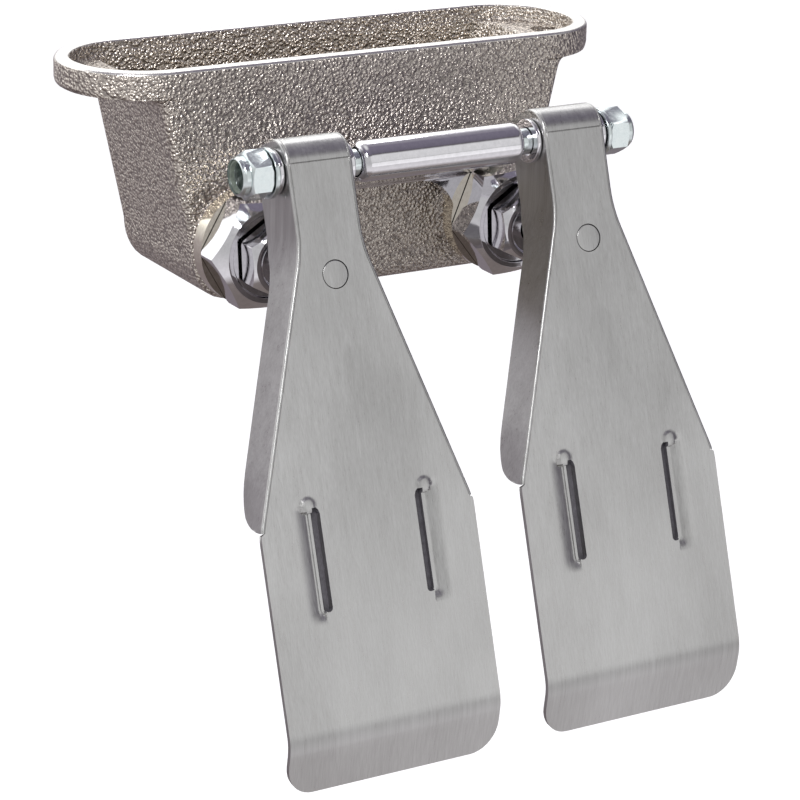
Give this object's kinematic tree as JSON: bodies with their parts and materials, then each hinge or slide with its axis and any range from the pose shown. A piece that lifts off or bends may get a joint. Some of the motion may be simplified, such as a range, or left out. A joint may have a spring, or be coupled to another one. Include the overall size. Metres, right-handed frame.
{
  "type": "double pedal mixing valve",
  "caption": "Cast box valve body under a mounting flange, with two self-closing valves in front and two stamped steel pedals on one hinge rod that push their stems.",
  "frame": {"origin": "centre of the mounting flange's upper face", "axes": "+Z out of the mounting face, +X along the flange, -Y from the body towards the pedals"},
  "size_m": [0.1778, 0.1469, 0.186],
  "materials": {
    "cast_nickel": "rough cast brass, nickel plated",
    "chrome": "polished chrome plate",
    "zinc": "bright zinc plated steel",
    "brushed_stainless": "stainless sheet, brushed along its length",
    "raw_brass": "machined brass",
    "spring_steel": "drawn stainless wire",
    "black_rubber": "moulded rubber",
    "nylon": "nylon lock ring"
  },
  "bodies": {
    "root": {"valve_body": "cast_nickel", "hinge_yoke": "chrome", "hinge_rod": "zinc", "bonnet_left": "chrome", "gland_nut_left": "chrome", "gland_packing_left": "black_rubber", "seat_ring_left": "raw_brass", "closing_spring_left": "spring_steel", "nut_washer_left": "zinc", "lock_nut_left": "zinc", "nut_insert_left": "nylon", "bonnet_right": "chrome", "gland_nut_right": "chrome", "gland_packing_right": "black_rubber", "seat_ring_right": "raw_brass", "closing_spring_right": "spring_steel", "nut_washer_right": "zinc", "lock_nut_right": "zinc", "nut_insert_right": "nylon"},
    "pedal_left": {"pedal_left": "brushed_stainless", "contact_stud_left": "brushed_stainless", "pivot_bushing_left_outer": "chrome", "pivot_bushing_left_inner": "chrome"},
    "stem_left": {"stem_left": "chrome", "disc_holder_left": "raw_brass", "seat_washer_left": "black_rubber"},
    "pedal_right": {"pedal_right": "brushed_stainless", "contact_stud_right": "brushed_stainless", "pivot_bushing_right_outer": "chrome", "pivot_bushing_right_inner": "chrome"},
    "stem_right": {"stem_right": "chrome", "disc_holder_right": "raw_brass", "seat_washer_right": "black_rubber"}
  },
  "joints": [
    {"name": "pedal_left_hinge", "type": "hinge", "parent": "root", "child": "pedal_left", "pos_m": [-0.0426, -0.0644, -0.0215], "axis": [1, 0, 0], "range_deg": [0, 10], "stiffness_Nm_per_rad": 1, "springref_deg": -11.46},
    {"name": "stem_left_slide", "type": "slide", "parent": "root", "child": "stem_left", "axis": [0, 1, 0], "range_m": [0, 0.0062], "deforming": ["closing_spring_left"]},
    {"name": "pedal_right_hinge", "type": "hinge", "parent": "root", "child": "pedal_right", "pos_m": [0.0426, -0.0644, -0.0215], "axis": [1, 0, 0], "range_deg": [0, 10], "stiffness_Nm_per_rad": 1, "springref_deg": -11.46},
    {"name": "stem_right_slide", "type": "slide", "parent": "root", "child": "stem_right", "axis": [0, 1, 0], "range_m": [0, 0.0062], "deforming": ["closing_spring_right"]}
  ],
  "couplings": [
    {"joint": "stem_left_slide", "follows": "pedal_left_hinge", "m_per_rad": 0.0348},
    {"joint": "stem_right_slide", "follows": "pedal_right_hinge", "m_per_rad": 0.0348}
  ]
}
